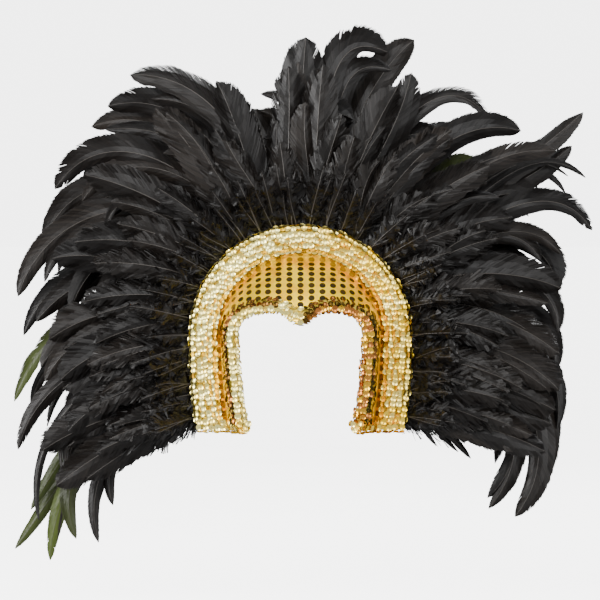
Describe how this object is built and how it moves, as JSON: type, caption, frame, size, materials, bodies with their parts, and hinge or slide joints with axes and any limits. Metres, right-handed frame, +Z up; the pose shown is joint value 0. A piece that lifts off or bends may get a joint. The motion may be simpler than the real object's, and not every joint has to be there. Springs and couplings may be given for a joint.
{
  "type": "carnival feather headdress",
  "caption": "Arch-shaped carnival headdress: dotted gold band with a widow's peak, sequin borders and a wide fan of curved black cock feathers behind it.",
  "frame": {"origin": "where the crown of the head bears on the underside of the band, in the middle of the band's back line", "axes": "+Z up, the wearer looks along -Y, +X towards the wearer's left hand, along the fan's width"},
  "size_m": [0.6737, 0.2037, 0.6184],
  "materials": {
    "lame": "metallised cloth, printed dots",
    "sequins": "sewn gold cup sequins",
    "feathers": "dyed cock feathers, soft sheen"
  },
  "bodies": {
    "root": {"crown_band": "lame", "face_trim": "sequins", "back_trim": "sequins", "right_leg_trim": "sequins", "left_leg_trim": "sequins", "hackle_strip": "feathers", "saddle_strip": "feathers", "long_saddle_strip": "feathers", "front_tail_strip": "feathers", "middle_tail_strip": "feathers", "back_tail_strip": "feathers"}
  },
  "joints": []
}
